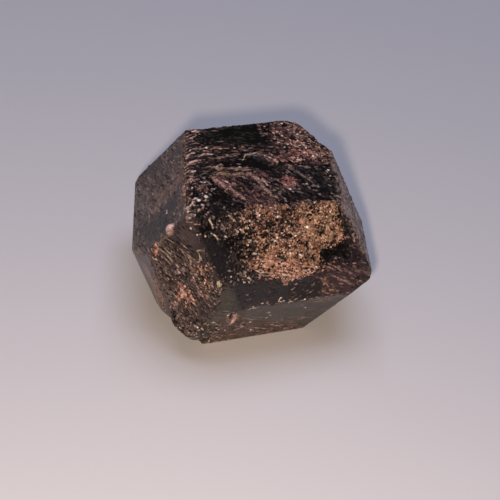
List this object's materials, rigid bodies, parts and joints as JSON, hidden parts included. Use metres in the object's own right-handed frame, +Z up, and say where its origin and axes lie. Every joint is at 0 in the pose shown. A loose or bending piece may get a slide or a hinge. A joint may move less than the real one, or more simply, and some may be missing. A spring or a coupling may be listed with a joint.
{
  "type": "garnet crystal",
  "caption": "Dark almandine garnet crystal: a flattened rhombic dodecahedron with growth ledges and a tan granular crust.",
  "frame": {"origin": "under the middle of the crystal's box, on the surface that it rests on", "axes": "+Z up, square to the rhombic faces on the top and the base; -Y towards the side with the tan crust"},
  "size_m": [0.0424, 0.0442, 0.0269],
  "materials": {
    "garnet": "natural almandine garnet: dull resinous gloss on the smooth faces, rough and granular on the tan crust"
  },
  "bodies": {
    "root": {"garnet_crystal": "garnet"}
  },
  "joints": []
}
